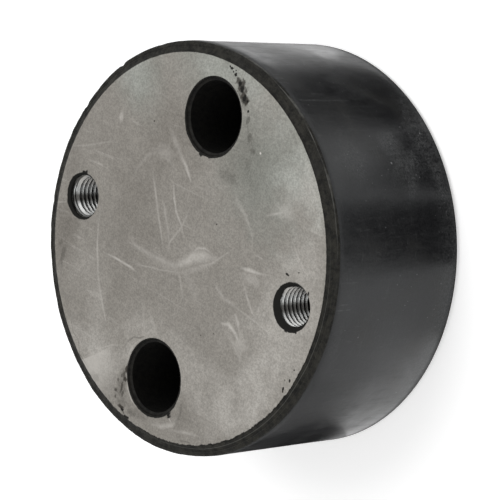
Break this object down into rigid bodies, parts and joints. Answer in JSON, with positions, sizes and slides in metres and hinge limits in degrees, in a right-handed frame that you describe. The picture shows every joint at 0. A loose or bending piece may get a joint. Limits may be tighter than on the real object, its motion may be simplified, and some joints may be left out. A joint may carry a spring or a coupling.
{
  "type": "rubber damper block",
  "caption": "Round rubber damper block with a steel plate bonded into each end, threaded holes in the front plate and rubber-lined holes through to the back plate.",
  "frame": {"origin": "centre of the back plate's outer face, on the block's axis", "axes": "+Z along the block's axis towards the front plate, X through the threaded holes, Y through the access holes"},
  "size_m": [0.15, 0.15, 0.065],
  "materials": {
    "rubber": "moulded black rubber, semi-matt side, rough trimmed rims",
    "steel": "bare mild steel, dull grey, scratched and stained"
  },
  "bodies": {
    "root": {"rubber_body": "rubber", "front_plate": "steel", "back_plate": "steel"}
  },
  "joints": []
}
